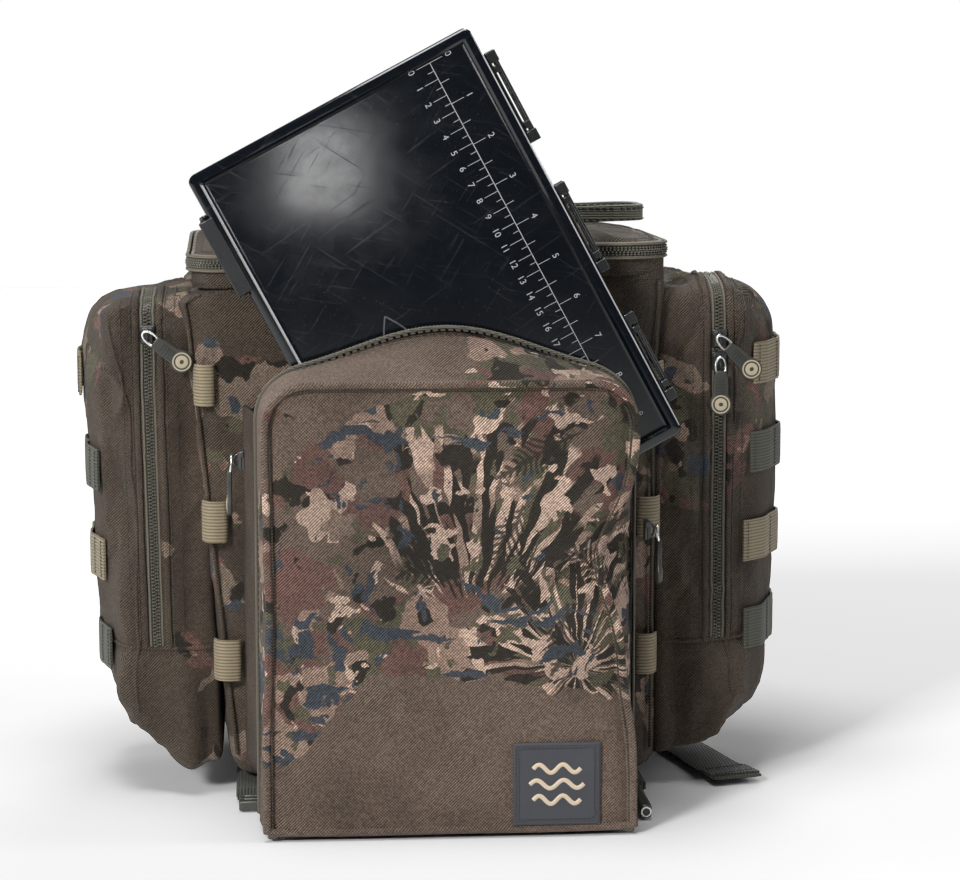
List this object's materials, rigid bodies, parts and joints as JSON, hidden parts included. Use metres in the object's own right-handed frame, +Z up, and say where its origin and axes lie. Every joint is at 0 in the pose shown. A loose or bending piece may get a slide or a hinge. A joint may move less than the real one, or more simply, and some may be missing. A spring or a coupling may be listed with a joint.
{
  "type": "tackle backpack",
  "caption": "Boxy camouflage tackle backpack with a zipped lid, zipped side pockets, a fold-down front pocket holding a flat tackle box, and padded shoulder straps.",
  "frame": {"origin": "on the ground under the middle of the object's width and depth; the main bag's wall planes are at Y -0.082 and +0.084", "axes": "+X to the pack's left as worn (the viewer's right when the front pocket is seen), +Y towards the wearer's back, +Z up"},
  "size_m": [0.4212, 0.3606, 0.443],
  "materials": {
    "camo_fabric": "printed camouflage twill, matte",
    "brown_fabric": "plain brown twill, matte",
    "tan_webbing": "tan nylon webbing",
    "olive_webbing": "olive nylon webbing",
    "zip": "dark tape with olive coil teeth",
    "slider_metal": "black enamelled slider",
    "pull_rubber": "moulded rubber pull",
    "badge_rubber": "moulded rubber badge with a raised motif",
    "box_plastic": "black moulded plastic",
    "box_window": "glossy smoked lid",
    "mesh_pad": "black air-mesh padding",
    "buckle_plastic": "moulded buckle plastic"
  },
  "bodies": {
    "pack": {"main_bag": "camo_fabric", "lid_collar": "brown_fabric", "lid_zip_lower": "zip", "pocket_rear_gusset": "brown_fabric", "pocket_floor": "brown_fabric", "back_pad": "mesh_pad", "base_buckle": "buckle_plastic", "base_clip": "buckle_plastic", "side_pocket_left": "camo_fabric", "side_zip_left": "zip", "molle_ladder_left": "olive_webbing", "front_zip_rear_left": "zip", "shoulder_strap_left": "mesh_pad", "strap_buckle_left": "buckle_plastic", "strap_webbing_left": "olive_webbing", "strap_tail_left": "olive_webbing", "base_strap_left": "olive_webbing", "webbing_tab_left_1": "tan_webbing", "webbing_tab_left_2": "tan_webbing", "webbing_tab_left_3": "tan_webbing", "side_pocket_right": "camo_fabric", "side_zip_right": "zip", "molle_ladder_right": "olive_webbing", "front_zip_rear_right": "zip", "shoulder_strap_right": "mesh_pad", "strap_buckle_right": "buckle_plastic", "strap_webbing_right": "olive_webbing", "strap_tail_right": "olive_webbing", "base_strap_right": "olive_webbing", "webbing_tab_right_1": "tan_webbing", "webbing_tab_right_2": "tan_webbing", "webbing_tab_right_3": "tan_webbing"},
    "lid": {"lid_panel": "camo_fabric", "lid_zip_upper": "zip"},
    "carry_handle": {"carry_handle": "olive_webbing"},
    "front_pocket": {"front_pocket": "camo_fabric", "front_piping": "brown_fabric", "front_badge": "badge_rubber", "front_zip_front": "zip"},
    "tackle_box": {"tackle_box_tray": "box_plastic", "tackle_box_lid": "box_window", "tackle_box_hinge_1": "box_plastic", "tackle_box_hinge_2": "box_plastic", "tackle_box_hinge_3": "box_plastic"},
    "latch_upper": {"tackle_box_latch_upper": "box_plastic"},
    "latch_lower": {"tackle_box_latch_lower": "box_plastic"},
    "side_slider_right_upper": {"side_slider_right_upper": "slider_metal"},
    "side_pull_right_upper": {"side_pull_right_upper": "pull_rubber"},
    "side_slider_right_lower": {"side_slider_right_lower": "slider_metal"},
    "side_pull_right_lower": {"side_pull_right_lower": "pull_rubber"},
    "side_slider_left": {"side_slider_left": "slider_metal"},
    "side_pull_left": {"side_pull_left": "pull_rubber"},
    "front_slider_left": {"front_slider_left": "slider_metal"},
    "front_pull_left": {"front_pull_left": "pull_rubber"},
    "front_slider_right": {"front_slider_right": "slider_metal"},
    "front_pull_right": {"front_pull_right": "pull_rubber"},
    "lid_slider_left": {"lid_slider_left": "slider_metal"},
    "lid_pull_left": {"lid_pull_left": "pull_rubber"},
    "lid_slider_right": {"lid_slider_right": "slider_metal"},
    "lid_pull_right": {"lid_pull_right": "pull_rubber"}
  },
  "joints": [
    {"name": "lid_hinge", "type": "hinge", "parent": "pack", "child": "lid", "pos_m": [0, 0.0925, 0.3282], "axis": [-1, 0, 0], "range_deg": [0, 110]},
    {"name": "carry_handle_hinge", "type": "hinge", "parent": "lid", "child": "carry_handle", "pos_m": [0, 0.07, 0.3354], "axis": [-1, 0, 0], "range_deg": [0, 90]},
    {"name": "front_pocket_hinge", "type": "hinge", "parent": "pack", "child": "front_pocket", "pos_m": [0, -0.178, 0], "axis": [1, 0, 0], "range_deg": [0, 78]},
    {"name": "tackle_box_slide", "type": "slide", "parent": "pack", "child": "tackle_box", "axis": [-0.4741, 0, 0.8805], "range_m": [0, 0.26]},
    {"name": "latch_upper_hinge", "type": "hinge", "parent": "tackle_box", "child": "latch_upper", "pos_m": [-0.12332, -0.0987, 0.31667], "axis": [0.4741, 0, -0.8805], "range_deg": [0, 80]},
    {"name": "latch_lower_hinge", "type": "hinge", "parent": "tackle_box", "child": "latch_lower", "pos_m": [-0.0468, -0.0987, 0.17456], "axis": [0.4741, 0, -0.8805], "range_deg": [0, 80]},
    {"name": "side_slider_right_upper_slide", "type": "slide", "parent": "pack", "child": "side_slider_right_upper", "axis": [0, 0, 1], "range_m": [0, 0.007]},
    {"name": "side_pull_right_upper_swing", "type": "hinge", "parent": "side_slider_right_upper", "child": "side_pull_right_upper", "pos_m": [0.163, -0.0811, 0.2655], "axis": [-0.6919, 0, -0.722], "range_deg": [0, 150]},
    {"name": "side_slider_right_lower_slide", "type": "slide", "parent": "pack", "child": "side_slider_right_lower", "axis": [0, 0, -1], "range_m": [0, 0.145]},
    {"name": "side_pull_right_lower_swing", "type": "hinge", "parent": "side_slider_right_lower", "child": "side_pull_right_lower", "pos_m": [0.163, -0.0811, 0.2525], "axis": [-1, 0, 0], "range_deg": [0, 115]},
    {"name": "side_slider_left_slide", "type": "slide", "parent": "pack", "child": "side_slider_left", "axis": [0, 0, -1], "range_m": [0, 0.165]},
    {"name": "side_pull_left_swing", "type": "hinge", "parent": "side_slider_left", "child": "side_pull_left", "pos_m": [-0.163, -0.0811, 0.27], "axis": [-0.6, 0, -0.8], "range_deg": [0, 150]},
    {"name": "front_slider_left_slide", "type": "slide", "parent": "pack", "child": "front_slider_left", "axis": [0, 0, -1], "range_m": [0, 0.155]},
    {"name": "front_pull_left_swing", "type": "hinge", "parent": "front_slider_left", "child": "front_pull_left", "pos_m": [-0.1206, -0.1314, 0.205], "axis": [0, 1, 0], "range_deg": [0, 150]},
    {"name": "front_slider_right_slide", "type": "slide", "parent": "pack", "child": "front_slider_right", "axis": [0, 0, -1], "range_m": [0, 0.115]},
    {"name": "front_pull_right_swing", "type": "hinge", "parent": "front_slider_right", "child": "front_pull_right", "pos_m": [0.1206, -0.1314, 0.163], "axis": [0, -1, 0], "range_deg": [0, 150]},
    {"name": "lid_slider_left_slide", "type": "slide", "parent": "pack", "child": "lid_slider_left", "axis": [-1, 0, 0], "range_m": [0, 0.026]},
    {"name": "lid_pull_left_swing", "type": "hinge", "parent": "lid_slider_left", "child": "lid_pull_left", "pos_m": [-0.081, 0.1005, 0.3178], "axis": [0, 0, 1], "range_deg": [0, 150]},
    {"name": "lid_slider_right_slide", "type": "slide", "parent": "pack", "child": "lid_slider_right", "axis": [1, 0, 0], "range_m": [0, 0.026]},
    {"name": "lid_pull_right_swing", "type": "hinge", "parent": "lid_slider_right", "child": "lid_pull_right", "pos_m": [0.075, 0.1005, 0.3178], "axis": [0, 0, -1], "range_deg": [0, 150]}
  ]
}
